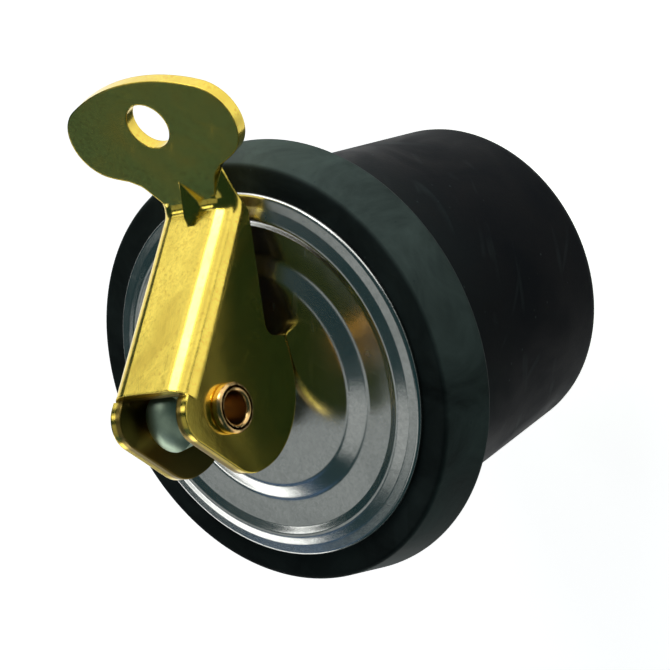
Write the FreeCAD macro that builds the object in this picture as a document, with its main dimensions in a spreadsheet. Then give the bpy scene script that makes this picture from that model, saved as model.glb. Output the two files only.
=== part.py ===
"""Snap-lever plug for the drain tube of a bait well, one inch size, lever closed.

The frame: +Z runs out of the tube along the axis of the plug, +X towards the thumb
tab of the closed lever, +Y along the rivet that the lever turns on.  The origin is
the centre of the seat, the ring under the flange that lies on the mouth of the tube.
"""
import FreeCAD, Part
import math
import os
import Sketcher
from FreeCAD import Vector

SIZES = {
    # rubber stopper
    "flange_front_diameter": 30.2,
    "flange_seat_diameter": 31.9,
    "flange_thickness": 4.15,
    "flange_bevel": 0.3,
    "root_diameter": 27.1,
    "end_diameter": 23.4,
    "stopper_depth": 19.8,
    "end_bevel": 0.7,
    "relief_width": 0.7,
    "relief_depth": 0.35,
    # pressed face washer
    "face_washer_diameter": 26.4,
    "face_sheet": 0.5,
    "plateau_diameter": 15.4,
    "plateau_rise": 0.6,
    "plateau_run": 1.25,
    "plateau_bend": 0.3,
    "washer_lip": 0.8,
    "bead_rise": 0.38,
    "bead_outer_run": 0.78,
    "bead_crest": 0.17,
    "bead_inner_run": 0.5,
    # draw bolt, its end washer and its nut
    "rod_diameter": 4.1,
    "rod_clearance": 0.1,
    "dome_radius": 3.1,
    "tip_chamfer": 0.5,
    "tip_recess": 0.1,
    "end_washer_diameter": 19.0,
    "end_washer_thickness": 1.0,
    "end_washer_bevel": 0.2,
    "nut_flats": 8.7,
    "nut_height": 3.2,
    "nut_corner_cut": 0.35,
    "thread_clearance": 0.03,
    # cam lever, measured from its pivot
    "cam_height": 7.3,
    "cam_draw": 2.4,
    "cam_clearance": 0.04,
    "lever_width": 7.0,
    "lever_sheet": 0.9,
    "bend_radius": 1.6,
    "web_angle": 43.0,
    "web_end_x": 2.6,
    "neck_x": 12.88,
    "neck_drop": 5.7,
    "neck_bend": 0.8,
    "heel_sink": 0.75,
    "heel_x": 0.28,
    "shoulder_drop": 0.18,
    "heel_round": 2.1,
    "shoulder_round": 2.6,
    "foot_x": 2.9,
    "foot_round": 0.45,
    "arm_start_x": 3.4,
    "arm_start_drop": 5.5,
    "arm_round": 0.9,
    "arm_end_x": 11.8,
    "arm_end_drop": 7.15,
    "arm_end_round": 0.8,
    "ear_reach": 4.0,
    # thumb tab, measured along the tab from the neck
    "tab_angle": 19.0,
    "tab_middle": 6.06,
    "tab_length": 7.9,
    "tab_width": 15.0,
    "tab_end_radius": 3.0,
    "cord_hole_diameter": 3.4,
    "cord_hole_place": 6.61,
    "dart_on_tab": 2.1,
    "dart_on_web": 1.5,
    "dart_crest_on_web": 1.15,
    "dart_crest_rise": 0.55,
    "dart_width": 1.9,
    "flare_start": 0.6,
    "flare_start_width": 4.8,
    "flare_middle": 2.2,
    "flare_middle_width": 6.8,
    "flare_round": 1.2,
    "flare_end": 3.6,
    "flare_end_width": 11.2,
    # tubular pivot rivet
    "rivet_diameter": 2.8,
    "rivet_bore": 2.3,
    "rivet_head_diameter": 3.5,
    "rivet_head_height": 0.75,
    "rivet_head_bevel": 0.25,
    "rivet_clearance": 0.05,
    "rivet_seat_clearance": 0.02,
}

doc = FreeCAD.newDocument("baitwell_plug")
sheet = doc.addObject("Spreadsheet::Sheet", "Sizes")
for row, (alias, number) in enumerate(SIZES.items(), start=1):
    sheet.set("A%d" % row, alias)
    sheet.set("B%d" % row, str(number))
    sheet.setAlias("B%d" % row, alias)
doc.recompute()


class Size:
    """A length that keeps its formula in the sheet's names beside its present value."""

    def __init__(self, value, text):
        self.value = value
        self.text = text

    def __add__(self, other):
        other = as_size(other)
        return Size(self.value + other.value, "(%s + %s)" % (self.text, other.text))

    def __sub__(self, other):
        other = as_size(other)
        return Size(self.value - other.value, "(%s - %s)" % (self.text, other.text))

    def __mul__(self, other):
        other = as_size(other)
        return Size(self.value * other.value, "(%s * %s)" % (self.text, other.text))

    def __truediv__(self, other):
        other = as_size(other)
        return Size(self.value / other.value, "(%s / %s)" % (self.text, other.text))

    def __neg__(self):
        return Size(-self.value, "(0 - %s)" % self.text)


def as_size(number):
    return number if isinstance(number, Size) else Size(float(number), repr(float(number)))


def size(alias):
    return Size(SIZES[alias], "Sizes.%s" % alias)


def sin(angle):
    return Size(math.sin(math.radians(angle.value)), "sin(%s)" % angle.text)


def cos(angle):
    return Size(math.cos(math.radians(angle.value)), "cos(%s)" % angle.text)


def root(square):
    return Size(math.sqrt(square.value), "sqrt(%s)" % square.text)


ZERO = as_size(0)
NEAR = 1e-4  # how closely an edge has to lie to be picked out
SPARE = 1.0  # how far a cutting outline runs past what it cuts


def bind(thing, path, length):
    thing.setExpression(path, length.text)


def new_body(label):
    body = doc.addObject("PartDesign::Body", label)
    body.Label = label
    return body


def origin_item(body, role):
    return next(item for item in body.Origin.OriginFeatures if item.Role == role)


def new_sketch(body, role, name):
    sketch = body.newObject("Sketcher::SketchObject", name)
    sketch.AttachmentSupport = [(origin_item(body, role), "")]
    sketch.MapMode = "FlatFace"
    return sketch


def pin(sketch, geometry, point, x=None, y=None):
    """Hold one point of a sketch at x and y from the sketch's origin."""
    for kind, length, axis in (("DistanceX", x, -2), ("DistanceY", y, -1)):
        if length is None:
            continue
        if length is ZERO:
            sketch.addConstraint(Sketcher.Constraint("PointOnObject", geometry, point, axis))
            continue
        index = sketch.addConstraint(
            Sketcher.Constraint(kind, -1, 1, geometry, point, length.value))
        bind(sketch, "Constraints[%d]" % index, length)


class Corner:
    """A corner of an outline, rounded if it has a radius; a loose one is held in x only."""

    def __init__(self, x, y, radius=None, loose=False):
        self.x = x
        self.y = y
        self.radius = radius
        self.loose = loose

    def spot(self):
        return Vector(self.x.value, self.y.value, 0)


def draw_outline(sketch, corners, closed=True):
    """Straight lines from corner to corner, with a tangent arc at each rounded corner."""
    corners = [corner if isinstance(corner, Corner) else Corner(*corner) for corner in corners]
    count = len(corners)
    entries, exits, turns = [], [], []
    for index, corner in enumerate(corners):
        here = corner.spot()
        before = corners[index - 1].spot()
        after = corners[(index + 1) % count].spot()
        if corner.radius is None:
            entries.append(here)
            exits.append(here)
            turns.append(0)
            continue
        arriving = (here - before).normalize()
        leaving = (after - here).normalize()
        turn = math.atan2(arriving.x * leaving.y - arriving.y * leaving.x, arriving.dot(leaving))
        setback = corner.radius.value * math.tan(abs(turn) / 2)
        entries.append(here - arriving * setback)
        exits.append(here + leaving * setback)
        turns.append(turn)
    lines = []
    for index in range(count if closed else count - 1):
        lines.append(sketch.addGeometry(
            Part.LineSegment(exits[index], entries[(index + 1) % count])))
    for index, corner in enumerate(corners):
        is_end = not closed and index in (0, count - 1)
        y = None if corner.loose else corner.y
        if is_end:
            line, point = (lines[0], 1) if index == 0 else (lines[-1], 2)
            pin(sketch, line, point, corner.x, y)
            continue
        arriving_line, leaving_line = lines[index - 1], lines[index]
        if corner.radius is None:
            sketch.addConstraint(Sketcher.Constraint("Coincident", arriving_line, 2, leaving_line, 1))
            pin(sketch, leaving_line, 1, corner.x, y)
            continue
        arriving = (entries[index] - exits[index - 1]).normalize()
        side = 1 if turns[index] > 0 else -1
        centre = entries[index] + Vector(-arriving.y, arriving.x, 0) * corner.radius.value * side
        start, end = (entries[index], exits[index]) if side > 0 else (exits[index], entries[index])
        angles = [math.atan2(place.y - centre.y, place.x - centre.x) for place in (start, end)]
        arc = sketch.addGeometry(Part.ArcOfCircle(
            Part.Circle(centre, Vector(0, 0, 1), corner.radius.value), *angles))
        mark = sketch.addGeometry(Part.Point(corner.spot()), True)
        pin(sketch, mark, 1, corner.x, y)
        arc_entry, arc_exit = (1, 2) if side > 0 else (2, 1)
        for constraint in (
                Sketcher.Constraint("PointOnObject", mark, 1, arriving_line),
                Sketcher.Constraint("PointOnObject", mark, 1, leaving_line),
                Sketcher.Constraint("Tangent", arriving_line, 2, arc, arc_entry),
                Sketcher.Constraint("Tangent", arc, arc_exit, leaving_line, 1)):
            sketch.addConstraint(constraint)
        radius = sketch.addConstraint(Sketcher.Constraint("Radius", arc, corner.radius.value))
        bind(sketch, "Constraints[%d]" % radius, corner.radius)
    return lines


def draw_circle(sketch, x, y, diameter):
    """A full circle held by its centre and its diameter."""
    index = sketch.addGeometry(Part.Circle(
        Vector(x.value, y.value, 0), Vector(0, 0, 1), diameter.value / 2))
    pin(sketch, index, 3, x, y)
    limit = sketch.addConstraint(Sketcher.Constraint("Diameter", index, diameter.value))
    bind(sketch, "Constraints[%d]" % limit, diameter)


def draw_oval(sketch, middle_x, length, width, end_radius):
    """Two flat arcs across the oval's width and two tight ones round its ends, all tangent."""
    half_length, half_width = length / 2, width / 2
    squares = half_length * half_length + half_width * half_width
    flat_radius = (squares - half_width * end_radius * 2) / ((half_length - end_radius) * 2)
    shift = flat_radius - half_length
    end_y = half_width - end_radius
    lean = math.atan2(end_y.value, shift.value)
    arcs = []
    for centre_x, centre_y, radius, start, end in (
            (middle_x - shift, ZERO, flat_radius, -lean, lean),
            (middle_x, end_y, end_radius, lean, math.pi - lean),
            (middle_x + shift, ZERO, flat_radius, math.pi - lean, math.pi + lean),
            (middle_x, -end_y, end_radius, math.pi + lean, 2 * math.pi - lean)):
        arc = sketch.addGeometry(Part.ArcOfCircle(Part.Circle(
            Vector(centre_x.value, centre_y.value, 0), Vector(0, 0, 1), radius.value), start, end))
        is_flat = centre_y is ZERO
        pin(sketch, arc, 3, centre_x, None if is_flat else centre_y)
        if not is_flat:
            limit = sketch.addConstraint(Sketcher.Constraint("Radius", arc, radius.value))
            bind(sketch, "Constraints[%d]" % limit, radius)
        arcs.append(arc)
    for arc, following in zip(arcs, arcs[1:] + arcs[:1]):
        sketch.addConstraint(Sketcher.Constraint("Tangent", arc, 2, following, 1))


def revolve(body, sketch, name, kind="PartDesign::Revolution"):
    """Turn a sketch about its own upright axis, as added or as removed material."""
    feature = body.newObject(kind, name)
    feature.Profile = sketch
    feature.ReferenceAxis = (sketch, ["V_Axis"])
    feature.Angle = 360.0
    sketch.Visibility = False
    doc.recompute()
    return feature


def pad(body, sketch, name, length, midplane=False, backwards=False):
    feature = body.newObject("PartDesign::Pad", name)
    feature.Profile = sketch
    feature.SideType = "Symmetric" if midplane else "One side"
    feature.Reversed = backwards
    bind(feature, "Length", length)
    doc.recompute()
    return feature


def pocket_through(body, sketch, name):
    """Cut a sketch both ways through the whole piece."""
    before = body.Shape.Volume
    feature = body.newObject("PartDesign::Pocket", name)
    feature.Profile = sketch
    feature.SideType = "Symmetric"
    feature.Type = "ThroughAll"
    doc.recompute()
    assert body.Shape.Volume < before, name
    return feature


def pocket_width(body, sketch, name, width):
    """Cut a sketch to this width, the same to both sides of its plane."""
    before = body.Shape.Volume
    feature = body.newObject("PartDesign::Pocket", name)
    feature.Profile = sketch
    feature.SideType = "Symmetric"
    bind(feature, "Length", width)
    doc.recompute()
    assert body.Shape.Volume < before, name
    return feature


def mirror(body, feature, name):
    """Repeat a feature on the other side of the plane that the lever is symmetrical about."""
    mirrored = body.newObject("PartDesign::Mirrored", name)
    mirrored.Originals = [feature]
    mirrored.MirrorPlane = (origin_item(body, "XZ_Plane"), [""])
    body.Tip = mirrored
    doc.recompute()
    return mirrored


def dress(body, base, kind, name, edges, path, length):
    """A fillet or chamfer on the edges that a test picks out."""
    feature = body.newObject("PartDesign::" + kind, name)
    feature.Base = (base, edges)
    bind(feature, path, length)
    doc.recompute()
    return feature


def edges_where(shape, test):
    names = ["Edge%d" % number for number, edge in enumerate(shape.Edges, start=1) if test(edge)]
    assert names, "no edge found"
    return names


def middle(edge):
    return edge.valueAt((edge.FirstParameter + edge.LastParameter) / 2)


def ring_at(radius, height):
    """Picks the circular edge about the axis with this radius and height."""
    def test(edge):
        if not isinstance(edge.Curve, Part.Circle):
            return False
        same_radius = abs(edge.Curve.Radius - radius.value) < NEAR
        return same_radius and abs(edge.Curve.Center.z - height.value) < NEAR
    return test


def any_of(tests):
    return lambda edge: any(test(edge) for test in tests)


# heights that several pieces share
face_height = size("flange_thickness")
plateau_height = face_height + size("face_sheet") + size("plateau_rise")
pivot_height = plateau_height + size("cam_height")
stopper_end = -size("stopper_depth")
nut_top = stopper_end - size("end_washer_thickness")
nut_bottom = nut_top - size("nut_height")
rod_radius = size("rod_diameter") / 2
rod_hole_radius = rod_radius + size("rod_clearance")


def build_rubber_stopper():
    """Flange and tapered plug in one moulding, bored through for the draw bolt."""
    body = new_body("rubber_stopper")
    end_radius = size("end_diameter") / 2
    root_radius = size("root_diameter") / 2
    seat_radius = size("flange_seat_diameter") / 2
    front_radius = size("flange_front_diameter") / 2
    relief = size("relief_width")
    below_relief = root_radius - (root_radius - end_radius) * relief / size("stopper_depth")
    sketch = new_sketch(body, "XZ_Plane", "stopper_profile")
    draw_outline(sketch, [
        (rod_hole_radius, stopper_end), (end_radius, stopper_end), (below_relief, -relief),
        (root_radius - size("relief_depth"), -(relief / 2)), (root_radius, ZERO),
        (seat_radius, ZERO), (front_radius, face_height), (rod_hole_radius, face_height)])
    solid = revolve(body, sketch, "stopper_turned")
    rims = any_of([ring_at(front_radius, face_height), ring_at(seat_radius, ZERO)])
    solid = dress(body, solid, "Chamfer", "flange_bevels",
                  edges_where(solid.Shape, rims), "Size", size("flange_bevel"))
    dress(body, solid, "Chamfer", "end_bevel_cut",
          edges_where(solid.Shape, ring_at(end_radius, stopper_end)), "Size", size("end_bevel"))
    return body


def build_face_washer():
    """Sheet washer pressed into a raised plateau and a bead near its rim."""
    body = new_body("face_washer")
    sheet_top = face_height + size("face_sheet")
    bead_top = sheet_top + size("bead_rise")
    plateau = size("plateau_diameter") / 2
    plateau_foot = plateau + size("plateau_run")
    rim = size("face_washer_diameter") / 2
    skirt = rim - size("washer_lip")
    bead_outer = skirt - size("bead_outer_run")
    bead_inner = bead_outer - size("bead_crest")
    bead_foot = bead_inner - size("bead_inner_run")
    upper = [
        (rod_hole_radius, plateau_height), (plateau, plateau_height), (plateau_foot, sheet_top),
        (bead_foot, sheet_top), (bead_inner, bead_top), (bead_outer, bead_top),
        (skirt, sheet_top), (rim, sheet_top)]
    lower = [(radius, height - size("face_sheet")) for radius, height in reversed(upper)]
    sketch = new_sketch(body, "XZ_Plane", "washer_profile")
    draw_outline(sketch, upper + lower)
    solid = revolve(body, sketch, "washer_pressed")
    bends = any_of([ring_at(plateau, plateau_height), ring_at(plateau_foot, sheet_top)])
    dress(body, solid, "Chamfer", "plateau_bends",
          edges_where(solid.Shape, bends), "Size", size("plateau_bend"))
    return body


def build_draw_bolt():
    """Round rod, domed about the rivet at one end and threaded for the nut at the other."""
    body = new_body("draw_bolt")
    tip = nut_bottom + size("tip_recess")
    chamfer = size("tip_chamfer")
    dome = size("dome_radius")
    dome_edge = pivot_height + root(dome * dome - rod_radius * rod_radius)
    sketch = new_sketch(body, "XZ_Plane", "rod_profile")
    corners = [
        (ZERO, pivot_height + dome), (ZERO, tip), (rod_radius - chamfer, tip),
        (rod_radius, tip + chamfer), (rod_radius, dome_edge)]
    for start, end in zip(corners, corners[1:]):
        sketch.addGeometry(Part.LineSegment(
            Vector(start[0].value, start[1].value, 0), Vector(end[0].value, end[1].value, 0)))
    start_angle = math.acos(rod_radius.value / dome.value)
    arc = sketch.addGeometry(Part.ArcOfCircle(
        Part.Circle(Vector(0, pivot_height.value, 0), Vector(0, 0, 1), dome.value),
        start_angle, math.pi / 2))
    for line in range(3):
        sketch.addConstraint(Sketcher.Constraint("Coincident", line, 2, line + 1, 1))
    sketch.addConstraint(Sketcher.Constraint("Coincident", 3, 2, arc, 1))
    sketch.addConstraint(Sketcher.Constraint("Coincident", arc, 2, 0, 1))
    for line in range(4):
        pin(sketch, line, 1, *corners[line])
    pin(sketch, 3, 2, *corners[4])
    pin(sketch, arc, 3, ZERO, None)
    revolve(body, sketch, "rod_turned")
    hole = new_sketch(body, "XZ_Plane", "rivet_hole")
    draw_circle(hole, ZERO, pivot_height, size("rivet_diameter") + size("rivet_clearance") * 2)
    pocket_through(body, hole, "rivet_hole_drilled")
    return body


def build_end_washer():
    """Flat washer that the nut pulls against the inner end of the rubber."""
    body = new_body("end_washer")
    outer = size("end_washer_diameter") / 2
    sketch = new_sketch(body, "XZ_Plane", "end_washer_profile")
    draw_outline(sketch, [
        (rod_hole_radius, nut_top), (outer, nut_top),
        (outer, stopper_end), (rod_hole_radius, stopper_end)])
    solid = revolve(body, sketch, "end_washer_blanked")
    rims = any_of([ring_at(outer, nut_top), ring_at(outer, stopper_end)])
    dress(body, solid, "Chamfer", "end_washer_rims",
          edges_where(solid.Shape, rims), "Size", size("end_washer_bevel"))
    return body


def build_hex_nut():
    """Hexagon nut, its corners cut back at both faces."""
    body = new_body("hex_nut")
    half_flat = size("nut_flats") / 2
    corner = size("nut_flats") / math.sqrt(3)
    side = corner / 2
    sketch = new_sketch(body, "XY_Plane", "hexagon")
    bind(sketch, ".AttachmentOffset.Base.z", nut_bottom)
    draw_outline(sketch, [
        (corner, ZERO), (side, half_flat), (-side, half_flat),
        (-corner, ZERO), (-side, -half_flat), (side, -half_flat)])
    pad(body, sketch, "hexagon_bar", size("nut_height"))
    bore = new_sketch(body, "XY_Plane", "nut_bore")
    draw_circle(bore, ZERO, ZERO, size("rod_diameter") + size("thread_clearance") * 2)
    pocket_through(body, bore, "nut_tapped")
    cut = size("nut_corner_cut")
    outside = corner + SPARE
    above, below = nut_top + SPARE, nut_bottom - SPARE
    profile = new_sketch(body, "XZ_Plane", "corner_cut_profile")
    draw_outline(profile, [
        (half_flat, nut_top), (outside, nut_top - (outside - half_flat) * cut),
        (outside, above), (half_flat, above)])
    draw_outline(profile, [
        (half_flat, nut_bottom), (half_flat, below),
        (outside, below), (outside, nut_bottom + (outside - half_flat) * cut)])
    before = body.Shape.Volume
    revolve(body, profile, "corners_cut", kind="PartDesign::Groove")
    assert body.Shape.Volume < before
    return body


class LeverLines:
    """Points of the lever's side view, in x and z from the pivot, lever closed.

    Each cam lobe is three tangent arcs.  Their centres lie round the pivot, 30 degrees
    apart, so the lobe's reach falls evenly as the lever turns up through 90 degrees,
    from cam_height closed to cam_height less cam_draw open.
    """

    arc_count = 3
    arc_turn = 30

    def __init__(self):
        step = as_size(self.arc_turn / 2)
        slope, tab = size("web_angle"), size("tab_angle")
        tangent = sin(step) / cos(step)
        offset = size("cam_draw") / (self.arc_count * 2) / tangent
        reach = size("cam_height") - size("cam_clearance")
        self.centres = []
        self.joints = [(offset, -reach)]
        radius = reach - offset * tangent
        for number in range(self.arc_count):
            end_turn = as_size(self.arc_turn * (number + 1))
            middle_turn = end_turn - step
            spread = offset / cos(step)
            centre = (spread * cos(middle_turn), -(spread * sin(middle_turn)))
            self.centres.append(centre)
            self.joints.append((
                centre[0] - radius * sin(end_turn), centre[1] - radius * cos(end_turn)))
            radius = radius - offset * tangent * 2
        self.neck = (size("neck_x"), -size("neck_drop"))
        sheet_thickness = size("lever_sheet")
        rise = sin(slope) / cos(slope)
        self.web_direction = (-cos(slope), sin(slope))
        self.web_normal = (sin(slope), cos(slope))
        self.tab_direction = (cos(tab), sin(tab))
        self.tab_normal = (-sin(tab), cos(tab))
        sink = size("heel_sink")
        heel_z = self.neck[1] + (self.neck[0] - size("heel_x")) * rise - sink / cos(slope)
        self.heel = (size("heel_x"), heel_z)
        self.shoulder = (self.joints[3][0], -size("shoulder_drop"))
        web_end_z = self.neck[1] + (self.neck[0] - size("web_end_x")) * rise
        self.web_end = (size("web_end_x"), web_end_z)
        depth = size("bend_radius")
        self.web_end_low = self.on_web(self.web_end, ZERO, -depth)
        self.heel_start = self.on_web(self.web_end, ZERO, -sink)
        self.arm_start = (size("arm_start_x"), -size("arm_start_drop"))
        self.arm_end = (size("arm_end_x"), -size("arm_end_drop"))
        self.arm_quarter = self.along_arm(0.25)
        self.before_arm = self.along_arm(-0.4)
        self.ear_tip = self.on_tab(size("ear_reach"))
        self.ear_tip_below = self.on_tab(size("ear_reach"), -sheet_thickness)
        tip_run = tuple(self.ear_tip_below[axis] - self.arm_end[axis] for axis in (0, 1))
        self.past_ear_tip = tuple(
            self.ear_tip_below[axis] + tip_run[axis] / 5 for axis in (0, 1))
        self.block_right = self.on_tab(size("ear_reach"), self.arm_end[1])
        self.block_left = (self.arm_start[0], self.block_right[1])
        far_right = self.ear_tip[0] * 2
        below_block = self.block_right[1] - SPARE
        self.below_right = (far_right, below_block)
        self.below_left = (-self.arm_start[0], below_block)
        self.inside_left = (self.shoulder[0] * 2, below_block)
        self.inside_right = (far_right, below_block)
        blend = cos(slope + tab) + 1
        self.dart_normal = tuple(
            (self.web_normal[axis] + self.tab_normal[axis]) / (cos((slope + tab) / 2) * 2)
            for axis in (0, 1))
        self.neck_sunk = tuple(
            self.neck[axis] - self.dart_normal[axis] * (sheet_thickness / 3) for axis in (0, 1))
        self.neck_below = tuple(
            self.neck[axis] - sheet_thickness * (self.web_normal[axis] + self.tab_normal[axis]) / blend
            for axis in (0, 1))

    def along_arm(self, share):
        """Point of the arm's lower edge, share 0 at its start and 1 at its end."""
        return tuple(self.arm_start[axis] + (self.arm_end[axis] - self.arm_start[axis]) * share
                     for axis in (0, 1))

    def on_tab(self, along, above=ZERO):
        return tuple(self.neck[axis] + along * self.tab_direction[axis] + above * self.tab_normal[axis]
                     for axis in (0, 1))

    def on_web(self, start, along, above=ZERO):
        return tuple(start[axis] + along * self.web_direction[axis] + above * self.web_normal[axis]
                     for axis in (0, 1))


def draw_ear(sketch, lines):
    """Side view of an ear: flat foot, start of the arm, heel, shoulder and cam lobe."""
    chain = draw_outline(sketch, [
        Corner(*lines.joints[0], loose=True),
        Corner(size("foot_x"), lines.joints[0][1], size("foot_round"), loose=True),
        Corner(*lines.arm_start, size("arm_round")),
        lines.arm_quarter,
        lines.web_end_low,
        lines.heel_start,
        Corner(*lines.heel, size("heel_round")),
        Corner(*lines.shoulder, size("shoulder_round")),
        lines.joints[3]], closed=False)
    sketch.addConstraint(Sketcher.Constraint("Horizontal", chain[0]))
    before = chain[-1]
    for number in (2, 1, 0):
        centre = lines.centres[number]
        spot = Vector(centre[0].value, centre[1].value, 0)
        radius = math.hypot(lines.joints[number][0].value - spot.x,
                            lines.joints[number][1].value - spot.y)
        end_angle = math.radians(270 - lines.arc_turn * number)
        start_angle = end_angle - math.radians(lines.arc_turn)
        arc = sketch.addGeometry(Part.ArcOfCircle(
            Part.Circle(spot, Vector(0, 0, 1), radius), start_angle, end_angle))
        sketch.addConstraint(Sketcher.Constraint("Coincident", before, 2, arc, 1))
        pin(sketch, arc, 3, *centre)
        if number:
            pin(sketch, arc, 2, None, lines.joints[number][1])
        else:
            sketch.addConstraint(Sketcher.Constraint("Coincident", arc, 2, chain[0], 1))
        before = arc


def lies_on_web(lines, half_width, depth):
    """Picks the edges that run along the web, this far below it and this far to a side."""
    def test(edge):
        place = middle(edge)
        if abs(abs(place.y) - half_width.value) > NEAR:
            return False
        height = ((place.x - lines.neck[0].value) * lines.web_normal[0].value
                  + (place.z - lines.neck[1].value) * lines.web_normal[1].value)
        between = lines.web_end[0].value < place.x < lines.neck[0].value
        return between and abs(height + depth.value) < NEAR
    return test


def build_cam_lever():
    """One piece of sheet: web, two ears with cam lobes, creased neck and oval thumb tab."""
    body = new_body("cam_lever")
    bind(body, ".Placement.Base.z", pivot_height)
    lines = LeverLines()
    sheet_thickness = size("lever_sheet")
    width = size("lever_width")
    inner_width = width - sheet_thickness * 2

    channel = new_sketch(body, "XZ_Plane", "channel_side")
    draw_outline(channel, [
        lines.web_end, lines.web_end_low, (ZERO, ZERO), lines.block_left, lines.block_right,
        lines.ear_tip, Corner(*lines.neck, size("neck_bend"))])
    solid = pad(body, channel, "channel_block", width, midplane=True)
    outer_edges = edges_where(solid.Shape, lies_on_web(lines, width / 2, ZERO))
    dress(body, solid, "Fillet", "outer_bends", outer_edges, "Radius", size("bend_radius"))
    inside = new_sketch(body, "XZ_Plane", "inside_side")
    draw_outline(inside, [
        lines.on_web(lines.web_end, sheet_thickness, -sheet_thickness), lines.inside_left,
        lines.inside_right, lines.on_tab(size("ear_reach") + SPARE, -sheet_thickness),
        Corner(*lines.neck_below, size("neck_bend") + sheet_thickness)])
    solid = pocket_width(body, inside, "channel_opened", inner_width)
    inner_edges = edges_where(solid.Shape, lies_on_web(lines, inner_width / 2, sheet_thickness))
    dress(body, solid, "Fillet", "inner_bends", inner_edges, "Radius",
          size("bend_radius") - sheet_thickness)
    trim = new_sketch(body, "XZ_Plane", "arm_trim")
    draw_outline(trim, [
        lines.before_arm, Corner(*lines.arm_end, size("arm_end_round")),
        lines.past_ear_tip, lines.below_right, lines.below_left])
    pocket_through(body, trim, "arm_trimmed")

    ear = new_sketch(body, "XZ_Plane", "ear_side")
    bind(ear, ".AttachmentOffset.Base.z", inner_width / 2)
    draw_ear(ear, lines)
    plate = pad(body, ear, "ear_plate", sheet_thickness)
    mirror(body, plate, "ear_plates")
    holes = new_sketch(body, "XZ_Plane", "rivet_holes")
    draw_circle(holes, ZERO, ZERO, size("rivet_diameter") + size("rivet_seat_clearance") * 2)
    pocket_through(body, holes, "rivet_holes_punched")
    add_thumb_tab(body, lines)
    add_neck_dart(body, lines)
    return body


def add_thumb_tab(body, lines):
    """Oval tab in its own slanting plane, flared into the neck, with a hole for a keeper cord."""
    sheet_thickness = size("lever_sheet")

    def tab_sketch(name):
        sketch = new_sketch(body, "XY_Plane", name)
        sketch.AttachmentOffset = FreeCAD.Placement(
            Vector(lines.neck[0].value, 0, lines.neck[1].value),
            FreeCAD.Rotation(Vector(0, -1, 0), size("tab_angle").value))
        bind(sketch, ".AttachmentOffset.Base.x", lines.neck[0])
        bind(sketch, ".AttachmentOffset.Base.z", lines.neck[1])
        bind(sketch, ".AttachmentOffset.Rotation.Angle", size("tab_angle"))
        return sketch

    outline = tab_sketch("tab_outline")
    draw_oval(outline, size("tab_middle"), size("tab_length"), size("tab_width"),
              size("tab_end_radius"))
    pad(body, outline, "tab_plate", sheet_thickness, backwards=True)
    flare = tab_sketch("neck_flare")
    start, start_y = size("flare_start"), size("flare_start_width") / 2
    bend, bend_y = size("flare_middle"), size("flare_middle_width") / 2
    end, end_y = size("flare_end"), size("flare_end_width") / 2
    draw_outline(flare, [
        (start, -start_y), Corner(bend, -bend_y, size("flare_round")), (end, -end_y),
        (end, end_y), Corner(bend, bend_y, size("flare_round")), (start, start_y)])
    pad(body, flare, "neck_flared", sheet_thickness, backwards=True)
    hole = tab_sketch("cord_hole")
    draw_circle(hole, size("cord_hole_place"), ZERO, size("cord_hole_diameter"))
    pocket_through(body, hole, "cord_hole_punched")


def add_neck_dart(body, lines):
    """Dart pressed up across the neck to stiffen the bend, hollow below."""
    tip_share = 0.04  # the dart's sides end in a section this small, nearly a point

    def section(name, drop, share):
        """The dart in side view, shrunk towards the neck and dropped."""
        on_tab = lines.on_tab(size("dart_on_tab"))
        crest = lines.on_web(lines.neck, size("dart_crest_on_web"), size("dart_crest_rise"))
        on_web = lines.on_web(lines.neck, size("dart_on_web"))
        corners = []
        for point in (lines.neck_sunk, on_tab, crest, on_web):
            corners.append(tuple(
                lines.neck_sunk[axis] + (point[axis] - lines.neck_sunk[axis]) * share
                - lines.dart_normal[axis] * drop for axis in (0, 1)))
        sketch = new_sketch(body, "XZ_Plane", name)
        draw_outline(sketch, corners)
        return sketch

    def half_dart(prefix, kind, drop):
        base = section(prefix + "_middle", drop, 1)
        tip = section(prefix + "_side", drop, tip_share)
        bind(tip, ".AttachmentOffset.Base.z", size("dart_width") / 2)
        loft = body.newObject("PartDesign::" + kind, prefix + "_half")
        loft.Profile = base
        loft.Sections = [tip]
        loft.Ruled = True
        doc.recompute()
        mirror(body, loft, prefix)

    half_dart("dart_ridge", "AdditiveLoft", ZERO)
    half_dart("dart_hollow", "SubtractiveLoft", size("lever_sheet"))


def build_pivot_rivet():
    """Tubular rivet through both ears and the rod, its ends rolled over."""
    body = new_body("pivot_rivet")
    bind(body, ".Placement.Base.z", pivot_height)
    bore = size("rivet_bore") / 2
    shank = size("rivet_diameter") / 2
    head = size("rivet_head_diameter") / 2
    seat = size("lever_width") / 2
    end = seat + size("rivet_head_height")
    sketch = new_sketch(body, "XY_Plane", "rivet_profile")
    draw_outline(sketch, [
        (bore, -end), (head, -end), (head, -seat), (shank, -seat),
        (shank, seat), (head, seat), (head, end), (bore, end)])
    solid = revolve(body, sketch, "rivet_turned")

    def on_end(edge):
        is_ring = isinstance(edge.Curve, Part.Circle)
        return is_ring and abs(abs(edge.Curve.Center.y) - end.value) < NEAR
    outer = [name for name in edges_where(solid.Shape, on_end)
             if abs(solid.Shape.getElement(name).Curve.Radius - head.value) < NEAR]
    dress(body, solid, "Chamfer", "rolled_ends", outer, "Size", size("rivet_head_bevel"))
    return body


builders = [build_rubber_stopper, build_face_washer, build_draw_bolt, build_end_washer,
            build_hex_nut, build_cam_lever, build_pivot_rivet]
pieces = [builder() for builder in builders]
doc.recompute()

for thing in doc.Objects:
    assert "Invalid" not in thing.State and "Error" not in thing.State, (thing.Name, thing.State)
for piece in pieces:
    assert not piece.Shape.isNull() and piece.Shape.isValid(), piece.Label
    print(piece.Label, round(piece.Shape.Volume, 3), piece.Shape.BoundBox)

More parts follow.
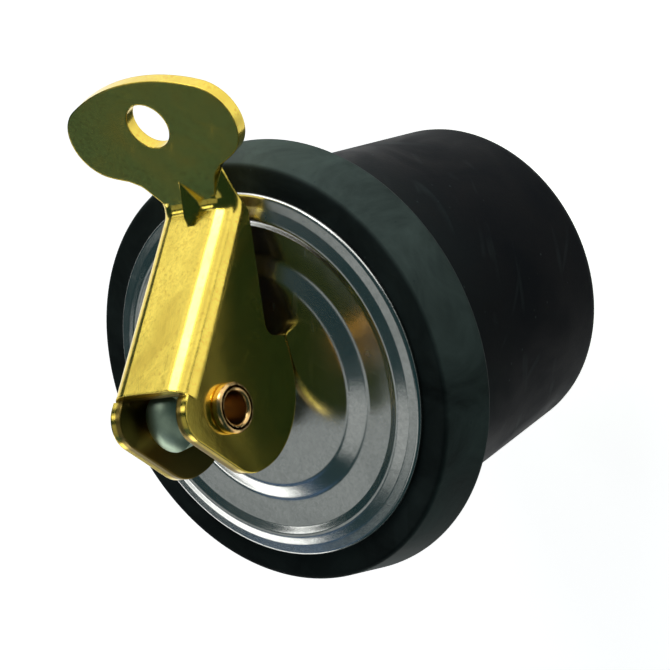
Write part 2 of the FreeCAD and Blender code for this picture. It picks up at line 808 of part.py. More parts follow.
os.makedirs("parts", exist_ok=True)
for piece in pieces:
    piece.Shape.exportStep("parts/%s.step" % piece.Label)
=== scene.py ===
# %% [markdown]
# # A snap-lever plug for a bait well
#
# The plug closes the one inch drain tube of a bait well.  A folded brass lever turns on a
# rivet and draws a steel rod up through a rubber stopper, which swells against the tube.
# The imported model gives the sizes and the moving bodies.  This script dresses it: turned
# pieces with true roundings, and materials for polished brass, bright plated steel and
# satin rubber, under a plain studio light.

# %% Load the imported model
import math

import bpy
import numpy as np
from mathutils import Matrix, Vector


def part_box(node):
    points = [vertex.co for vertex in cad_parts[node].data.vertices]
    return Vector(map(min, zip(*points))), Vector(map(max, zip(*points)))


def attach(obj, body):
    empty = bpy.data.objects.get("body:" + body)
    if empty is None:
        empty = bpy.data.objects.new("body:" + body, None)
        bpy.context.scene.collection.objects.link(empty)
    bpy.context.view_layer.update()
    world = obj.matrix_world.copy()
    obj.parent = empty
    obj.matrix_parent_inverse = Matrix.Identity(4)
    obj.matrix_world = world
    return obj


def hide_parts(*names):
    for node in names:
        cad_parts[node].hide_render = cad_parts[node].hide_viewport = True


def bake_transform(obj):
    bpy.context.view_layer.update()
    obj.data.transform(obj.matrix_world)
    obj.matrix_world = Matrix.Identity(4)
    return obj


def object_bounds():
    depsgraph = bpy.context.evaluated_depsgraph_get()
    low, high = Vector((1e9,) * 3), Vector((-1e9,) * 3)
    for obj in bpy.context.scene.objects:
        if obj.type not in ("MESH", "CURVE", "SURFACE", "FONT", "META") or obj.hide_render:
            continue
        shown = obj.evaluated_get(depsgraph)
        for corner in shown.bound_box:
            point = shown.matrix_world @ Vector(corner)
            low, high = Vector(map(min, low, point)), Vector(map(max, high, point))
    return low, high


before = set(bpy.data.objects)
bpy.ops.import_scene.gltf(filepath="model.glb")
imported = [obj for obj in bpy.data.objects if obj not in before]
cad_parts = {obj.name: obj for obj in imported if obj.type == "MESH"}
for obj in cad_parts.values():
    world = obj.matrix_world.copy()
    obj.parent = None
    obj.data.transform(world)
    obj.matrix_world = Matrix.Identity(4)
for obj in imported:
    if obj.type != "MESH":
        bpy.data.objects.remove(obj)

MM = 0.001
cad_bounds = [list(corner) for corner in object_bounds()]
print("CAD box in mm:", [[round(value / MM, 2) for value in corner] for corner in cad_bounds])

# %% [markdown]
# ## The camera
#
# A camera looks along its own -Z, with +X to its right and +Y up.  So its place can be
# written as three unit arrows in the object's frame and one point.  The plug lies on its
# side in the picture, so the lever's thumb tab, at +X, points up in it.  The long lens
# sits about 21 cm away.

# %% Place the camera
CAMERA_RIGHT = Vector((-0.26521, -0.75032, -0.60555))
CAMERA_UP = Vector((0.95098, -0.09995, -0.29265))
CAMERA_BACK = Vector((0.15905, -0.65348, 0.74004))
FACE_IN_VIEW = Vector((-4.592, -2.773, -211.4)) * MM  # the flange's front centre
LENS, SENSOR = 163.7, 36
face_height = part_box("rubber_stopper")[1][2]

axes = Matrix((CAMERA_RIGHT, CAMERA_UP, CAMERA_BACK)).transposed()
camera_place = Vector((0, 0, face_height)) - axes @ FACE_IN_VIEW
camera_data = bpy.data.cameras.new("camera")
camera_data.sensor_width = SENSOR
camera_data.lens = LENS
camera_data.clip_start = 0.01
camera_data.clip_end = 20
camera = bpy.data.objects.new("camera", camera_data)
bpy.context.scene.collection.objects.link(camera)
camera.matrix_world = Matrix.Translation(camera_place) @ axes.to_4x4()
bpy.context.scene.camera = camera
print("camera at", [round(value / MM, 1) for value in camera_place], "mm")

# %% [markdown]
# ## Helpers for shapes
#
# Nearly all pieces here are turned or pressed round an axis, so one helper rounds the
# corners of an outline and another carries it round the axis.  A polished surface shows
# every fault of its shading.  That is why each rounding gets a support point just past
# both its ends: the flat beside it then keeps its true normal.

# %% Round the corners of an outline
def rounded(corners, steps=7, support=0.35):
    """Closed outline with rounded corners, as an array of (r, z) points in mm.

    Each corner is (r, z, radius).  Its arc has its centre on the bisector of the corner,
    at radius / sin(half the corner's angle), and runs from side to side by weights
    sin((1 - t) sweep) and sin(t sweep).  The support points lie on the sides, a share of
    the radius further from the corner.
    """
    corners = np.asarray(corners, float)
    point, radius = corners[:, :2], corners[:, 2:]
    back = np.roll(point, 1, axis=0) - point
    ahead = np.roll(point, -1, axis=0) - point
    back /= np.linalg.norm(back, axis=1, keepdims=True)
    ahead /= np.linalg.norm(ahead, axis=1, keepdims=True)
    half = np.arccos(np.clip((back * ahead).sum(1, keepdims=True), -1, 1)) / 2
    setback = radius / np.tan(half)
    bisector = back + ahead
    bisector /= np.linalg.norm(bisector, axis=1, keepdims=True)
    centre = point + bisector * radius / np.sin(half)
    start, end = point + back * setback, point + ahead * setback
    sweep = np.pi - 2 * half
    share = np.linspace(0, 1, steps)[None, :, None]
    arc = (centre[:, None] + (np.sin((1 - share) * sweep[:, None]) * (start - centre)[:, None]
                              + np.sin(share * sweep[:, None]) * (end - centre)[:, None])
           / np.sin(sweep)[:, None])
    before = (start + back * radius * support)[:, None]
    after = (end + ahead * radius * support)[:, None]
    return np.concatenate([before, arc, after], axis=1).reshape(-1, 2)


def divided(outline, longest):
    """The same closed outline with more points, so that no run is longer than longest mm."""
    closed = np.vstack([outline, outline[:1]])
    length = np.concatenate([[0], np.cumsum(np.linalg.norm(np.diff(closed, axis=0), axis=1))])
    spots = np.unique(np.round(np.concatenate([length, np.arange(0, length[-1], longest)]), 6))
    return np.stack([np.interp(spots, length, closed[:, axis]) for axis in (0, 1)], axis=1)[:-1]


# %% Make a mesh from a grid of points
def skin(name, points, material):
    """A closed surface from a grid of points in mm that meets itself both ways.

    The face at row i and column j joins the points (i, j), (i, j + 1), (i + 1, j + 1) and
    (i + 1, j), where the last row and column go on to the first.
    """
    rows, columns = points.shape[:2]
    number = np.arange(rows * columns).reshape(rows, columns)
    down = np.roll(number, -1, axis=0)
    faces = np.stack([number, np.roll(number, -1, axis=1), np.roll(down, -1, axis=1), down],
                     axis=-1)
    mesh = bpy.data.meshes.new(name)
    mesh.from_pydata((points.reshape(-1, 3) * MM).tolist(), [], faces.reshape(-1, 4).tolist())
    mesh.validate()
    mesh.shade_smooth()
    mesh.materials.append(material)
    piece = bpy.data.objects.new(name, mesh)
    bpy.context.scene.collection.objects.link(piece)
    print(name, len(mesh.polygons), "faces")
    return piece


def turned(outline, steps=192):
    """Points of an outline carried round the Z axis.

    The point at angle a is (r cos a, r sin a, z), for a from 0 to a full turn.
    """
    angle = np.linspace(0, 2 * np.pi, steps, endpoint=False)
    radius, height = outline[:, :1], outline[:, 1:]
    return np.stack([radius * np.cos(angle), radius * np.sin(angle), height + 0 * angle], axis=-1)


# %% [markdown]
# ## Helpers for materials
#
# A material is a small network of nodes.  One helper adds a node and sets or links its
# inputs by name, so that each recipe below reads as a list.  Patterns that more than one
# material uses become node groups: they read Object coordinates, turned into millimetres,
# so a scratch has the same width on every piece.

# %% Add nodes by name
def node(tree, kind, settings=None, **inputs):
    """Add a node, set its properties and its inputs; an input may be a value or a socket."""
    new = tree.nodes.new(kind)
    for key, value in (settings or {}).items():
        setattr(new, key, value)
    for key, value in inputs.items():
        name = key.replace("_", " ")
        socket = new.inputs[int(name)] if name.isdigit() else new.inputs[name]
        if isinstance(value, bpy.types.NodeSocket):
            tree.links.new(value, socket)
        else:
            socket.default_value = value
    return new


def math_node(tree, operation, first, second=0.0, clamp=False):
    """One sum, product or other operation of two values."""
    settings = {"operation": operation, "use_clamp": clamp}
    return node(tree, "ShaderNodeMath", settings, **{"0": first, "1": second}).outputs[0]


def vector_node(tree, operation, *values):
    """One operation on vectors; the node it gives has a vector or a value to pass on."""
    inputs = {str(index): value for index, value in enumerate(values)}
    return node(tree, "ShaderNodeVectorMath", {"operation": operation}, **inputs)


def remap(tree, value, low, high, to_low, to_high):
    """Carry a value from one range to another, held at the ends."""
    ends = {"From Min": low, "From Max": high, "To Min": to_low, "To Max": to_high}
    return node(tree, "ShaderNodeMapRange", Value=value, **ends).outputs[0]


def blend_colours(tree, share, first, second):
    """A colour between two, by a share from 0 to 1.

    The mix node has sockets for each kind of data, and those for colours are 6 and 7.
    """
    inputs = {"0": share, "6": first, "7": second}
    return node(tree, "ShaderNodeMix", {"data_type": "RGBA"}, **inputs).outputs[2]


def new_group(name, inputs, outputs):
    """An empty node group with named number inputs and outputs."""
    group = bpy.data.node_groups.new(name, "ShaderNodeTree")
    for label, default in inputs.items():
        socket = group.interface.new_socket(label, in_out="INPUT", socket_type="NodeSocketFloat")
        socket.default_value = default
    for label in outputs:
        group.interface.new_socket(label, in_out="OUTPUT", socket_type="NodeSocketFloat")
    return group, group.nodes.new("NodeGroupInput"), group.nodes.new("NodeGroupOutput")


def millimetres(tree):
    """Object coordinates in millimetres."""
    place = node(tree, "ShaderNodeTexCoord").outputs["Object"]
    return vector_node(tree, "MULTIPLY", place, [1 / MM] * 3).outputs[0]


# %% [markdown]
# ## Patterns that several materials share
#
# **Smears** are the broad, soft changes of gloss that fingers, oil and handling leave.
# **Scuffs** are straight hairlines in two directions: the peaks of a noise squeezed into
# thin layers, which any surface cuts in lines, shown only in patches.  **Specks** are tiny
# pits or dust, the cores of a fine cell pattern.  Each group gives a mask from 0 to 1, and
# the material decides what it does.

# %% Build the smears
smears, smears_in, smears_out = new_group("Smears", {"Width": 4.0, "Contrast": 1.0}, ["Mask"])
smear_scale = math_node(smears, "DIVIDE", 1.0, smears_in.outputs["Width"])
smear_noise = node(smears, "ShaderNodeTexNoise", Vector=millimetres(smears), Scale=smear_scale,
                   Detail=5.0, Roughness=0.6, Distortion=0.8)
smear_centred = math_node(smears, "SUBTRACT", smear_noise.outputs[0], 0.5)
smear_scaled = math_node(smears, "MULTIPLY", smear_centred, smears_in.outputs["Contrast"])
smears.links.new(math_node(smears, "ADD", smear_scaled, 0.5, clamp=True), smears_out.inputs["Mask"])

# %% Build the scuffs
HAIR_TURNS = ((0.3, 0.5, 0.7), (-0.4, 1.2, 2.1))
HAIR_SQUEEZE = (1, 0.08, 0.08)
PATCH_SCALE = 0.35

scuffs, scuffs_in, scuffs_out = new_group("Scuffs", {"Spacing": 0.3}, ["Mask"])
scuff_scale = math_node(scuffs, "DIVIDE", 1.0, scuffs_in.outputs["Spacing"])
scuff_lines = []
for turn in HAIR_TURNS:
    turned_place = node(scuffs, "ShaderNodeVectorRotate", {"rotation_type": "EULER_XYZ"},
                        Vector=millimetres(scuffs), Rotation=turn).outputs[0]
    layered = vector_node(scuffs, "MULTIPLY", turned_place, HAIR_SQUEEZE).outputs[0]
    layers = node(scuffs, "ShaderNodeTexNoise", Vector=layered, Scale=scuff_scale, Detail=0.0)
    scuff_lines.append(remap(scuffs, layers.outputs[0], 0.66, 0.76, 0.0, 1.0))
scuff_patch = node(scuffs, "ShaderNodeTexNoise", Vector=millimetres(scuffs), Scale=PATCH_SCALE,
                   Detail=1.0)
scuff_where = remap(scuffs, scuff_patch.outputs[0], 0.48, 0.66, 0.0, 1.0)
scuff_both = math_node(scuffs, "MAXIMUM", *scuff_lines)
scuffs.links.new(math_node(scuffs, "MULTIPLY", scuff_both, scuff_where), scuffs_out.inputs["Mask"])

# %% Build the specks
specks, specks_in, specks_out = new_group("Specks", {"Spacing": 0.6, "Share": 0.2}, ["Mask"])
speck_scale = math_node(specks, "DIVIDE", 1.0, specks_in.outputs["Spacing"])
speck_cells = node(specks, "ShaderNodeTexVoronoi", Vector=millimetres(specks), Scale=speck_scale)
speck_core = remap(specks, speck_cells.outputs["Distance"], 0.05, 0.22, 1.0, 0.0)
speck_pick = node(specks, "ShaderNodeSeparateColor", Color=speck_cells.outputs["Color"]).outputs[0]
speck_kept = math_node(specks, "LESS_THAN", speck_pick, specks_in.outputs["Share"])
specks.links.new(math_node(specks, "MULTIPLY", speck_core, speck_kept), specks_out.inputs["Mask"])
print("groups:", [group.name for group in bpy.data.node_groups])

# %% [markdown]
# A recipe starts from a new material, takes masks from the shared patterns, and may blend
# the whole finish towards a darker, dull one where a mask says so, which is painted shade.

# %% Start a material, and paint shade into it
def place_group(tree, group, **values):
    """Put a shared pattern into a material and give its mask."""
    made = tree.nodes.new("ShaderNodeGroup")
    made.node_tree = group
    for key, value in values.items():
        made.inputs[key].default_value = value
    return made.outputs["Mask"]


def new_material(name, **constants):
    """A material with its shader; constants are set on the shader's own sockets."""
    material = bpy.data.materials.new(name)
    material.use_nodes = True
    shader = material.node_tree.nodes["Principled BSDF"]
    for key, value in constants.items():
        shader.inputs[key.replace("_", " ")].default_value = value
    return material, material.node_tree, shader


def tarnish(material, mask, colour, roughness):
    """Blend a material towards a darker, dull colour and roughness where the mask is 1: painted
    shade.
    """
    tree, shader = material.node_tree, material.node_tree.nodes["Principled BSDF"]
    clean_colour = shader.inputs["Base Color"].links[0].from_socket
    clean_gloss = shader.inputs["Roughness"].links[0].from_socket
    tree.links.new(blend_colours(tree, mask, clean_colour, colour), shader.inputs["Base Color"])
    dulled = math_node(tree, "MULTIPLY", mask, roughness)
    tree.links.new(math_node(tree, "MAXIMUM", clean_gloss, dulled), shader.inputs["Roughness"])


# %% [markdown]
# ## Polished brass
#
# The lever is bare brass sheet, tumbled bright before it was folded.  It mirrors its
# surroundings, with a faint rolled waviness, small scuffs and a slightly browner film.
# The height of its surface is broad waves, plus a share of fine grain, less the depth of
# the scuffs and pits, and a bump node turns that height into leaning normals.

# %% Make the brass
BRASS = (0.9, 0.7, 0.12, 1)
BRASS_FILM = (0.58, 0.36, 0.045, 1)
BRASS_GRAIN, BRASS_MARKS = 0.16, 0.02
BUMP_STRENGTH, BUMP_HEIGHT = 0.35, 0.05
EDGE_RADIUS = 0.16


def brass_finish(name, sharpness, bare=BRASS, filmed=BRASS_FILM):
    """Brass with smears, scuffs and pits; sharpness is its smallest roughness."""
    material, tree, shader = new_material(name, Metallic=1.0)
    film = place_group(tree, smears, Width=5.0, Contrast=2.2)
    speckled = remap(tree, place_group(tree, smears, Width=0.3, Contrast=2.0), 0.4, 0.9, 0.0, 0.6)
    scratched = place_group(tree, scuffs, Spacing=0.3)
    pitted = place_group(tree, specks, Spacing=0.7, Share=0.12)
    browned = math_node(tree, "MAXIMUM", remap(tree, film, 0.3, 0.9, 0.0, 0.45), speckled)
    colour = blend_colours(tree, browned, bare, filmed)
    tree.links.new(blend_colours(tree, math_node(tree, "MULTIPLY", pitted, 0.6), colour, filmed),
                   shader.inputs["Base Color"])
    worn = math_node(tree, "MULTIPLY", scratched, 0.05)
    gloss = remap(tree, film, 0.2, 0.9, sharpness, sharpness + 0.08)
    tree.links.new(math_node(tree, "ADD", gloss, worn), shader.inputs["Roughness"])
    wave = node(tree, "ShaderNodeTexNoise", Vector=millimetres(tree), Scale=0.55, Detail=2.0)
    grain = node(tree, "ShaderNodeTexNoise", Vector=millimetres(tree), Scale=7.0, Detail=2.0,
                 Roughness=0.6)
    fine = math_node(tree, "MULTIPLY", grain.outputs[0], BRASS_GRAIN)
    marks = math_node(tree, "MULTIPLY", math_node(tree, "ADD", scratched, pitted), BRASS_MARKS)
    height = math_node(tree, "SUBTRACT", math_node(tree, "ADD", wave.outputs[0], fine), marks)
    soft_edges = node(tree, "ShaderNodeBevel", {"samples": 6}, Radius=EDGE_RADIUS * MM)
    bump = node(tree, "ShaderNodeBump", Height=height, Strength=BUMP_STRENGTH,
                Distance=BUMP_HEIGHT * MM, Normal=soft_edges.outputs[0])
    tree.links.new(bump.outputs[0], shader.inputs["Normal"])
    return material


lever_brass = brass_finish("lever brass", 0.14)
rivet_brass = brass_finish("rivet brass", 0.2, (0.87, 0.58, 0.24, 1), (0.6, 0.3, 0.1, 1))
print("brass recipe:", len(lever_brass.node_tree.nodes), "nodes")

# %% [markdown]
# ## Plated steel
#
# The face washer is bright zinc plate, nearly a mirror.  The hidden washer, the nut and
# the rod have the same plate, duller, with a green tint that is a painted reflection of the
# green room.

# %% Make the steel
STEEL = (0.8, 0.8, 0.76, 1)
STEEL_FILM = (0.48, 0.49, 0.46, 1)
STEEL_GRAIN, STEEL_MARKS = 0.22, 0.03


def steel_finish(name, sharpness, bare=STEEL, filmed=STEEL_FILM):
    """Plated steel with smears and fine scuffs; sharpness is its smallest roughness."""
    material, tree, shader = new_material(name, Metallic=1.0)
    film = place_group(tree, smears, Width=7.0, Contrast=2.0)
    mottled = place_group(tree, smears, Width=0.3, Contrast=1.8)
    scratched = place_group(tree, scuffs, Spacing=0.36)
    pitted = place_group(tree, specks, Spacing=0.5, Share=0.08)
    hazy = math_node(tree, "ADD", remap(tree, film, 0.4, 1.0, 0.0, 0.3),
                     math_node(tree, "MULTIPLY", mottled, 0.6))
    dull = math_node(tree, "MAXIMUM", hazy, math_node(tree, "MULTIPLY", pitted, 0.7))
    tree.links.new(blend_colours(tree, dull, bare, filmed), shader.inputs["Base Color"])
    gloss = remap(tree, film, 0.25, 0.9, sharpness, sharpness + 0.1)
    tree.links.new(math_node(tree, "ADD", gloss, math_node(tree, "MULTIPLY", scratched, 0.06)),
                   shader.inputs["Roughness"])
    wave = node(tree, "ShaderNodeTexNoise", Vector=millimetres(tree), Scale=0.35, Detail=2.0)
    grain = node(tree, "ShaderNodeTexNoise", Vector=millimetres(tree), Scale=5.0, Detail=3.0,
                 Roughness=0.7)
    fine = math_node(tree, "MULTIPLY", grain.outputs[0], STEEL_GRAIN)
    marks = math_node(tree, "MULTIPLY", math_node(tree, "ADD", scratched, pitted), STEEL_MARKS)
    height = math_node(tree, "SUBTRACT", math_node(tree, "ADD", wave.outputs[0], fine), marks)
    bump = node(tree, "ShaderNodeBump", Height=height, Strength=BUMP_STRENGTH,
                Distance=BUMP_HEIGHT * MM)
    tree.links.new(bump.outputs[0], shader.inputs["Normal"])
    return material


bright_steel = steel_finish("bright plated steel", 0.17)
# The plain plate's green tint is a painted reflection of the dim green room.
plain_steel = steel_finish("plain plated steel", 0.36, (0.56, 0.69, 0.51, 1), (0.4, 0.5, 0.36, 1))
print("steel recipe:", len(bright_steel.node_tree.nodes), "nodes")

# %% [markdown]
# ## Satin rubber
#
# Black rubber isn't black paint: it has a low, broad gloss, a patchy bloom that lightens it
# to a blue green, a faint moulded grain, and dust that it won't let go.  The flange is
# painted a paler blue green still, a painted sheen for the light that falls on it.  This
# painted sheen is palest on the flange's rim, weaker on its front, which is painted in
# shade, and fades down the body.

# %% Make the rubber
RUBBER = (0.002, 0.0025, 0.003, 1)
RUBBER_BLOOM = (0.004, 0.006, 0.008, 1)
# The flange's paler colour is painted sheen, not bloom.
FLANGE_PAINTED_SHEEN = (0.095, 0.13, 0.117, 1)
DUST = (0.04, 0.055, 0.055, 1)
RUBBER_GRAIN = 0.03

rubber, rubber_tree, rubber_shader = new_material("black rubber", Specular_IOR_Level=0.02)
bloom = place_group(rubber_tree, smears, Width=6.0, Contrast=2.4)
dusty = place_group(rubber_tree, specks, Spacing=0.55, Share=0.06)
rubbed = place_group(rubber_tree, scuffs, Spacing=0.8)
height_mm = node(rubber_tree, "ShaderNodeSeparateXYZ", Vector=millimetres(rubber_tree)).outputs["Z"]
# Painted sheen: the flange is painted paler for the light that falls on it, less on its front,
# which is painted in shade, and a little on the body near the seat.
above_seat = remap(rubber_tree, height_mm, -0.2, 0.4, 0.0, 1.0)
painted_sheen_behind_front = remap(rubber_tree, height_mm, 3.9, 4.12, 1.0, 0.25)
painted_sheen_on_flange = math_node(rubber_tree, "MULTIPLY", above_seat, painted_sheen_behind_front)
painted_sheen_near_seat = remap(rubber_tree, height_mm, -9.0, -1.0, 0.0, 0.12)
painted_sheen_share = math_node(rubber_tree, "MAXIMUM", painted_sheen_on_flange, painted_sheen_near_seat)
bloom_and_painted_sheen = blend_colours(rubber_tree, painted_sheen_share, RUBBER_BLOOM, FLANGE_PAINTED_SHEEN)
bloomed_with_painted_sheen = blend_colours(rubber_tree, remap(rubber_tree, bloom, 0.0, 1.0, 0.25, 1.0), RUBBER, bloom_and_painted_sheen)
rubbed_share = math_node(rubber_tree, "MULTIPLY", rubbed, 0.25)
rubbed_colour = blend_colours(rubber_tree, rubbed_share, bloomed_with_painted_sheen, DUST)
dusty_share = math_node(rubber_tree, "MULTIPLY", dusty, 0.6)
rubber_tree.links.new(blend_colours(rubber_tree, dusty_share, rubbed_colour, DUST),
                      rubber_shader.inputs["Base Color"])
rubber_gloss = remap(rubber_tree, bloom, 0.1, 0.9, 0.42, 0.58)
rubber_tree.links.new(rubber_gloss, rubber_shader.inputs["Roughness"])
rubber_grain = node(rubber_tree, "ShaderNodeTexNoise", Vector=millimetres(rubber_tree), Scale=5.0,
                    Detail=3.0)
rubber_bump = node(rubber_tree, "ShaderNodeBump", Height=rubber_grain.outputs[0], Strength=0.25,
                   Distance=RUBBER_GRAIN * MM)
rubber_tree.links.new(rubber_bump.outputs[0], rubber_shader.inputs["Normal"])
print("rubber recipe:", len(rubber_tree.nodes), "nodes")

# %% [markdown]
# ## The rubber stopper
#
# One moulding: a flange with a slanting rim, a narrow groove below it, and a tapered
# body.  An outline turned round the axis is the whole shape.  The real body is soft: when
# the lever closes, the washer below moves up and draws it shorter against the flange, which
# stays.  The turned outline here keeps one shape.

# %% Turn the rubber stopper
stopper_low, stopper_high = (np.array(corner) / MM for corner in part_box("rubber_stopper"))
SEAT_RADIUS, FRONT_RADIUS = 15.95, 15.1
ROOT_RADIUS, END_RADIUS = 13.55, 11.7
GROOVE_RADIUS, GROOVE_WIDTH = 13.2, 0.7
ROD_HOLE = 2.15
face_mm, end_mm = stopper_high[2], stopper_low[2]
below_groove = ROOT_RADIUS - (ROOT_RADIUS - END_RADIUS) * GROOVE_WIDTH / -end_mm
stopper_outline = divided(rounded([
    (ROD_HOLE, end_mm, 0.2), (END_RADIUS, end_mm, 0.95), (below_groove, -GROOVE_WIDTH, 0.15),
    (GROOVE_RADIUS, -GROOVE_WIDTH / 2, 0.08), (ROOT_RADIUS, 0, 0.05), (SEAT_RADIUS, 0, 0.3),
    (FRONT_RADIUS, face_mm, 0.4), (ROD_HOLE, face_mm, 0.2)]), 1.0)
rubber_stopper = skin("rubber_moulding", turned(stopper_outline, 224), rubber)
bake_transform(rubber_stopper)
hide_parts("rubber_stopper")

# %% [markdown]
# ## The face washer
#
# Thin sheet, pressed into a raised plateau and a bead near its rim.  The top and the
# underside are the same line, one sheet thickness apart, and each bend has the soft
# radius of the press.

# %% Press the face washer
SHEET, BEAD_RISE, RIM_DROP = 0.5, 0.38, 0.14
washer_high = np.array(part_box("face_washer")[1]) / MM
WASHER_RADIUS = washer_high[0]
sheet_top, plateau_top = face_mm + SHEET, washer_high[2]
bead_top = sheet_top + BEAD_RISE
upper_line = np.array([
    (ROD_HOLE, plateau_top, 0.05), (7.7, plateau_top, 1.0), (8.95, sheet_top, 1.0),
    (10.95, sheet_top, 0.3), (11.55, bead_top, 0.4), (12.35, sheet_top, 0.5),
    (WASHER_RADIUS, sheet_top - RIM_DROP, 0.3)])
lower_line = np.vstack([upper_line[:-1] - (0, SHEET, 0), (WASHER_RADIUS, face_mm - 0.02, 0.05)])
washer_outline = divided(rounded(np.vstack([lower_line, upper_line[::-1]])), 1.5)
face_washer = skin("pressed_washer", turned(washer_outline, 256), bright_steel)
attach(face_washer, "stopper")
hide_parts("face_washer")

# %% [markdown]
# ## The pivot rivet
#
# A tube through both ears and the rod, rolled over at its ends.  The same turning helper
# serves: the points are turned round Z and then laid along Y, where the rivet lies.

# %% Turn the rivet
rivet_low, rivet_high = (np.array(corner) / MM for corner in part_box("pivot_rivet"))
pivot_mm = (rivet_low[2] + rivet_high[2]) / 2
rivet_end, rivet_head = rivet_high[1], rivet_high[0]
EAR_FACE, SHANK, BORE = 3.52, 1.4, 1.1
rivet_outline = rounded([
    (BORE, -rivet_end, 0.3), (rivet_head, -rivet_end, 0.3), (rivet_head, -EAR_FACE, 0.15),
    (SHANK, -EAR_FACE, 0.03), (SHANK, EAR_FACE, 0.03), (rivet_head, EAR_FACE, 0.15),
    (rivet_head, rivet_end, 0.3), (BORE, rivet_end, 0.3)])
upright = turned(rivet_outline, 72)
rivet_points = np.stack([upright[..., 1], upright[..., 2], upright[..., 0] + pivot_mm], axis=-1)
pivot_rivet = skin("rolled_rivet", rivet_points, rivet_brass)
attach(pivot_rivet, "lever")
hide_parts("pivot_rivet")

# %% Darken the rivet's bore with painted shade
BORE_PAINTED_SHADE = (0.38, 0.3, 0.17, 1)
rivet_tree = rivet_brass.node_tree
off_axis = vector_node(rivet_tree, "MULTIPLY_ADD", millimetres(rivet_tree), (1, 0, 1),
                       (0, 0, -pivot_mm)).outputs[0]
from_axis = vector_node(rivet_tree, "LENGTH", off_axis).outputs["Value"]
# Painted shade: the bore's wall is painted a darker, duller brass for the shade inside the tube.
in_bore = remap(rivet_tree, from_axis, BORE - 0.02, BORE + 0.06, 0.8, 0.0)
tarnish(rivet_brass, in_bore, BORE_PAINTED_SHADE, 0.4)
print("the bore is dull up to", BORE, "mm from the rivet's axis")

# %% [markdown]
# ## The pieces that keep their imported shape
#
# The lever, the rod, the nut and the end washer are true as they are.  They get their
# finish, and the bevel node in the brass rounds the sheet's cut edges in the light.  Inside
# the lever the brass is painted darker and duller: painted shade, for the shade between the
# ears.  The inside is what lies below the web's upper face and between the ears.

# %% Darken the inside of the lever with painted shade
WEB_NORMAL, WEB_PLANE, HALF_CHANNEL = (0.682, 0, 0.7314), 13.78, 3.05
LEVER_PAINTED_SHADE = (0.3, 0.21, 0.05, 1)
lever_tree = lever_brass.node_tree
along_normal = vector_node(lever_tree, "DOT_PRODUCT", millimetres(lever_tree),
                           WEB_NORMAL).outputs["Value"]
below_web = remap(lever_tree, along_normal, WEB_PLANE - 0.6, WEB_PLANE - 0.4, 1.0, 0.0)
sideways = node(lever_tree, "ShaderNodeSeparateXYZ", Vector=millimetres(lever_tree)).outputs["Y"]
between_ears = remap(lever_tree, math_node(lever_tree, "ABSOLUTE", sideways),
                     HALF_CHANNEL - 0.1, HALF_CHANNEL + 0.1, 1.0, 0.0)
# Painted shade: the channel's inside is painted a darker, duller brass.
tarnish(lever_brass, math_node(lever_tree, "MULTIPLY", below_web, between_ears), LEVER_PAINTED_SHADE, 0.3)
print("the lever is dull inside", 2 * HALF_CHANNEL, "mm between its ears")

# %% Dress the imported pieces
for name, finish in (("cam_lever", lever_brass), ("draw_bolt", plain_steel),
                     ("hex_nut", plain_steel), ("end_washer", plain_steel)):
    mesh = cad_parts[name].data
    mesh.materials.clear()
    mesh.materials.append(finish)
    print(name, "wears", finish.name)

# %% [markdown]
# ## Floor and light
#
# Polished metal shows what stands round it, so the surroundings matter as much as the
# metal.  The plug stands over a round pale floor in a dim, slightly green room.  The floor
# lies one draw of the rod below the nut, so the nut clears it in every pose.  A long low
# soft box along the tab's side lights the web from end to end, and a smaller one above it
# makes the hot streak on the bend.  The ring box and the arc box whiten the washer's bead
# and the edge of its plateau, a wide dim one high up greys its flats, and another greys
# the outer slope of its rim.  The thumb tab mirrors a faint cool box.
#
# The floor glows for the camera and for mirrors only, so it reads as white and still takes
# the shadow.  On the side away from the thumb tab the glow fades, a painted shade, so that
# the lever and the washer have something dark to mirror.  In front of the plug a round patch
# of the glow is taken out, a painted shadow, which the metal mirrors as well.

# %% Make the floor's material
FLOOR_GLOW = 0.85
PAINTED_SHADE_SIDES = ((-0.743, 0.669, 0), (-0.891, -0.454, 0))
PAINTED_SHADOW_MIDDLE = (-14.0, -44.0)
ROD_DRAW = 2.4
floor_height = cad_bounds[0][2] / MM - ROD_DRAW

floor_material, floor_tree, floor_shader = new_material("pale floor", Roughness=0.9)
floor_shader.inputs["Base Color"].default_value = (0.86, 0.86, 0.86, 1)
floor_shader.inputs["Emission Color"].default_value = (1, 1, 1, 1)
light_path = node(floor_tree, "ShaderNodeLightPath")
seen = math_node(floor_tree, "MAXIMUM", light_path.outputs["Is Camera Ray"],
                 math_node(floor_tree, "MAXIMUM", light_path.outputs["Is Glossy Ray"],
                           light_path.outputs["Is Transmission Ray"]))
on_floor = millimetres(floor_tree)
# Painted shade: the glow fades away from the plug on two sides.
fades = []
for side in PAINTED_SHADE_SIDES:
    away = vector_node(floor_tree, "DOT_PRODUCT", on_floor, side).outputs["Value"]
    fades.append(remap(floor_tree, away, 85.0, 200.0, 1.0, 0.1))
# Painted shadow: a round patch of glow is taken out in front of the plug.
from_painted_shadow = vector_node(floor_tree, "DISTANCE", on_floor,
                          (*PAINTED_SHADOW_MIDDLE, floor_height)).outputs["Value"]
painted_light_share = math_node(floor_tree, "MULTIPLY", math_node(floor_tree, "MULTIPLY", *fades),
                remap(floor_tree, from_painted_shadow, 18.0, 31.0, 0.0, 1.0))
glow = math_node(floor_tree, "MULTIPLY", painted_light_share, FLOOR_GLOW)
floor_tree.links.new(math_node(floor_tree, "MULTIPLY", seen, glow),
                     floor_shader.inputs["Emission Strength"])
print("the floor's glow fades on", len(PAINTED_SHADE_SIDES), "sides")

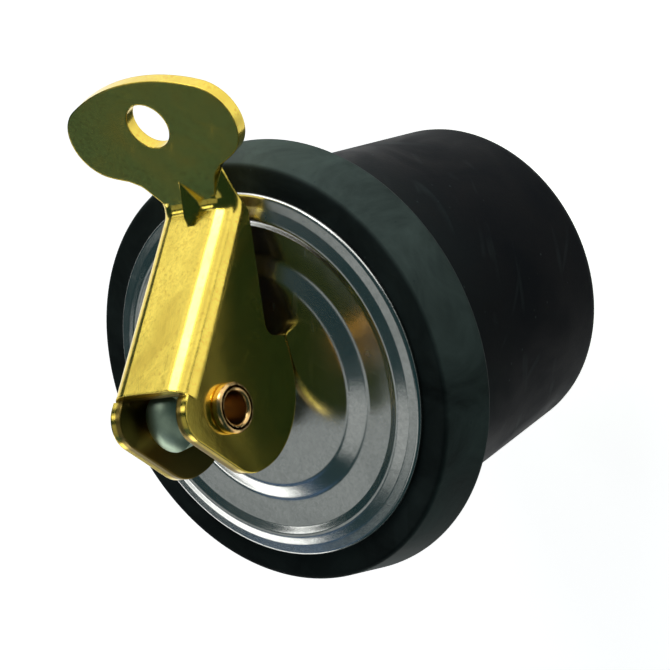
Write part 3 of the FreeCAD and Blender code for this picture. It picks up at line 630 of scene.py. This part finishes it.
# %% Lay the floor
FLOOR_RADIUS = 1200.0
across = np.linspace(0.5, FLOOR_RADIUS, 12)
disc = turned(np.stack([across, floor_height + 0 * across], axis=1), 96)
rows, columns = disc.shape[:2]
index = np.arange(rows * columns).reshape(rows, columns)
inner, outer = index[:-1], index[1:]
disc_faces = np.stack([inner, outer, np.roll(outer, -1, axis=1), np.roll(inner, -1, axis=1)],
                      axis=-1)
floor_mesh = bpy.data.meshes.new("floor")
floor_mesh.from_pydata((disc.reshape(-1, 3) * MM).tolist(), [],
                       disc_faces.reshape(-1, 4).tolist() + [index[0].tolist()])
floor_mesh.materials.append(floor_material)
floor = bpy.data.objects.new("floor", floor_mesh)
bpy.context.scene.collection.objects.link(floor)
print("floor at", round(floor_height, 2), "mm")

# %% Hang the lights
target = Vector((0, 0, face_height))


def soft_box(name, azimuth, elevation, distance, width, height, brightness, colour=(1, 1, 1)):
    """An area lamp that faces the plug from an azimuth and elevation in degrees.

    Azimuth 0 is +X and 90 is +Y.  The lamp's power is its brightness times pi times its area.
    """
    turn, tilt = math.radians(azimuth), math.radians(elevation)
    direction = Vector((math.cos(tilt) * math.cos(turn), math.cos(tilt) * math.sin(turn),
                        math.sin(tilt)))
    lamp = bpy.data.lights.new(name, "AREA")
    lamp.shape = "RECTANGLE"
    lamp.size, lamp.size_y = width, height
    lamp.energy = brightness * math.pi * width * height
    lamp.color = colour
    holder = bpy.data.objects.new(name, lamp)
    bpy.context.scene.collection.objects.link(holder)
    holder.location = target + direction * distance
    holder.rotation_euler = direction.to_track_quat("Z", "Y").to_euler()
    print(name, "at", [round(value, 2) for value in holder.location], "m")
    return holder


# name, azimuth, elevation, distance, width and height in metres, brightness, colour
soft_box("long box", -6, 12, 0.7, 1.8, 0.44, 1.15)
soft_box("streak box", 0, 24, 0.6, 0.44, 0.16, 4.5)
soft_box("ring box", 124, 6, 0.7, 0.5, 0.28, 1.8)
soft_box("arc box", 54, 36, 0.7, 0.16, 0.17, 1.8)
soft_box("top box", 102, 59, 0.8, 0.5, 0.6, 0.28)
soft_box("cool box", 132, 31, 0.7, 0.3, 0.2, 0.14, (0.25, 0.45, 1.0))
soft_box("rim box", 182, 58, 0.7, 0.34, 0.34, 0.36)

# %% Dim the room
ROOM_COLOUR = (0.016, 0.038, 0.042, 1)
world = bpy.data.worlds.new("studio")
bpy.context.scene.world = world
world.use_nodes = True
world.node_tree.nodes["Background"].inputs["Color"].default_value = ROOM_COLOUR
world.node_tree.nodes["Background"].inputs["Strength"].default_value = 1.0
bpy.context.scene.view_settings.view_transform = "Standard"
print("room colour", ROOM_COLOUR[:3])
